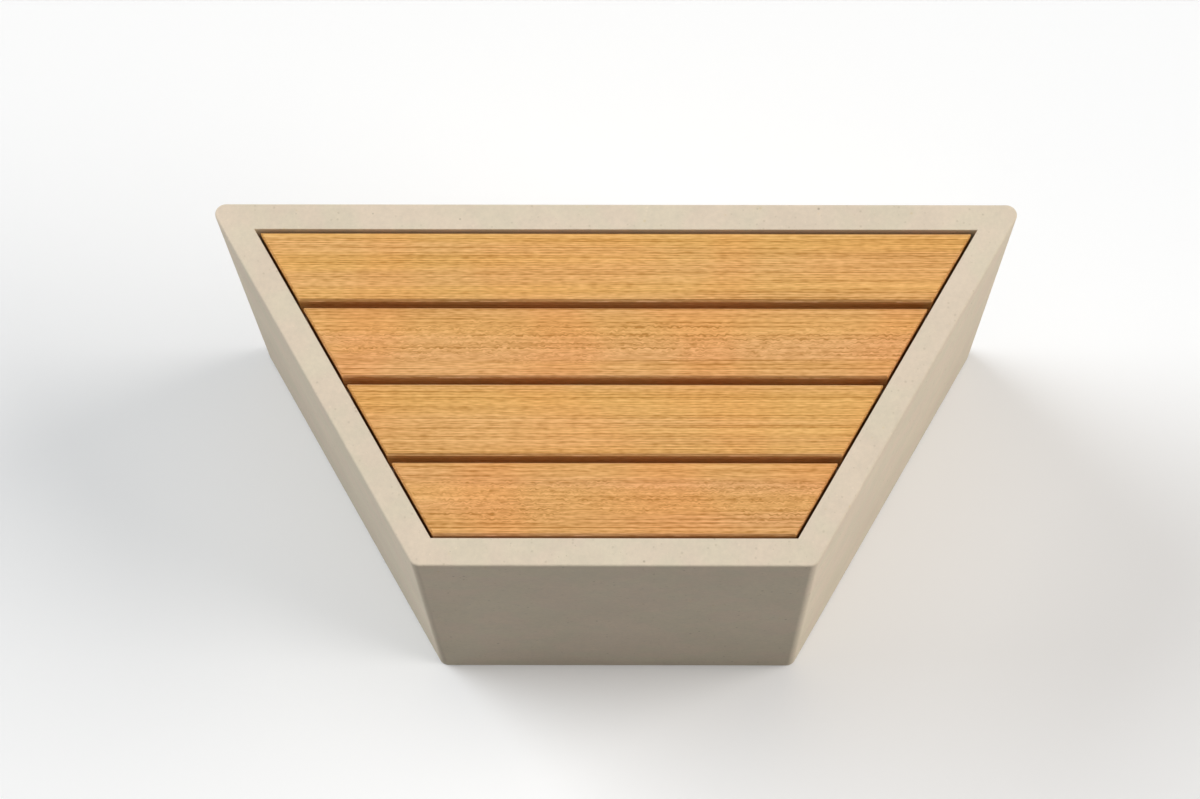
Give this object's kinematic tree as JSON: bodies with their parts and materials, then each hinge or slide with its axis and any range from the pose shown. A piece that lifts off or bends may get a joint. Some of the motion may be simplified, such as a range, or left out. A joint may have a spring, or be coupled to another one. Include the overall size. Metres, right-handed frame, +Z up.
{
  "type": "concrete block bench",
  "caption": "Trapezoidal precast concrete block bench with timber boards set flush in a recess in its top, to sit on outdoors.",
  "frame": {"origin": "on the ground, under the middle of the block's bounding box", "axes": "+X along the long back face, +Y from the short front face to the long back face, +Z up"},
  "size_m": [0.9224, 0.433, 0.45],
  "materials": {
    "concrete": "smooth cast concrete, warm beige",
    "timber": "oiled, straight grain",
    "galvanised_steel": "hot-dip galvanised",
    "stainless_steel": "plain stainless",
    "pad_rubber": "matt black",
    "insert_brass": "turned",
    "drain_plastic": "extruded, grey",
    "reinforcing_steel": "rolled, lightly rusted"
  },
  "bodies": {
    "root": {"concrete_block": "concrete", "seat_board_1": "timber", "seat_board_2": "timber", "seat_board_3": "timber", "seat_board_4": "timber", "bearer_left": "galvanised_steel", "bearer_centre": "galvanised_steel", "bearer_right": "galvanised_steel", "bearer_pads": "pad_rubber", "board_screws": "stainless_steel", "hold_down_bolts": "stainless_steel", "deck_inserts": "insert_brass", "drain_tube_left": "drain_plastic", "drain_tube_right": "drain_plastic", "reinforcement_hoop_lower": "reinforcing_steel", "reinforcement_hoop_upper": "reinforcing_steel", "reinforcement_uprights": "reinforcing_steel", "lifting_socket_left": "galvanised_steel", "lifting_socket_right": "galvanised_steel", "lifting_crossbar_left": "reinforcing_steel", "lifting_crossbar_right": "reinforcing_steel", "ground_socket_front_left": "galvanised_steel", "ground_socket_front_right": "galvanised_steel", "ground_socket_back_left": "galvanised_steel", "ground_socket_back_right": "galvanised_steel", "ground_crossbars": "reinforcing_steel"}
  },
  "joints": []
}
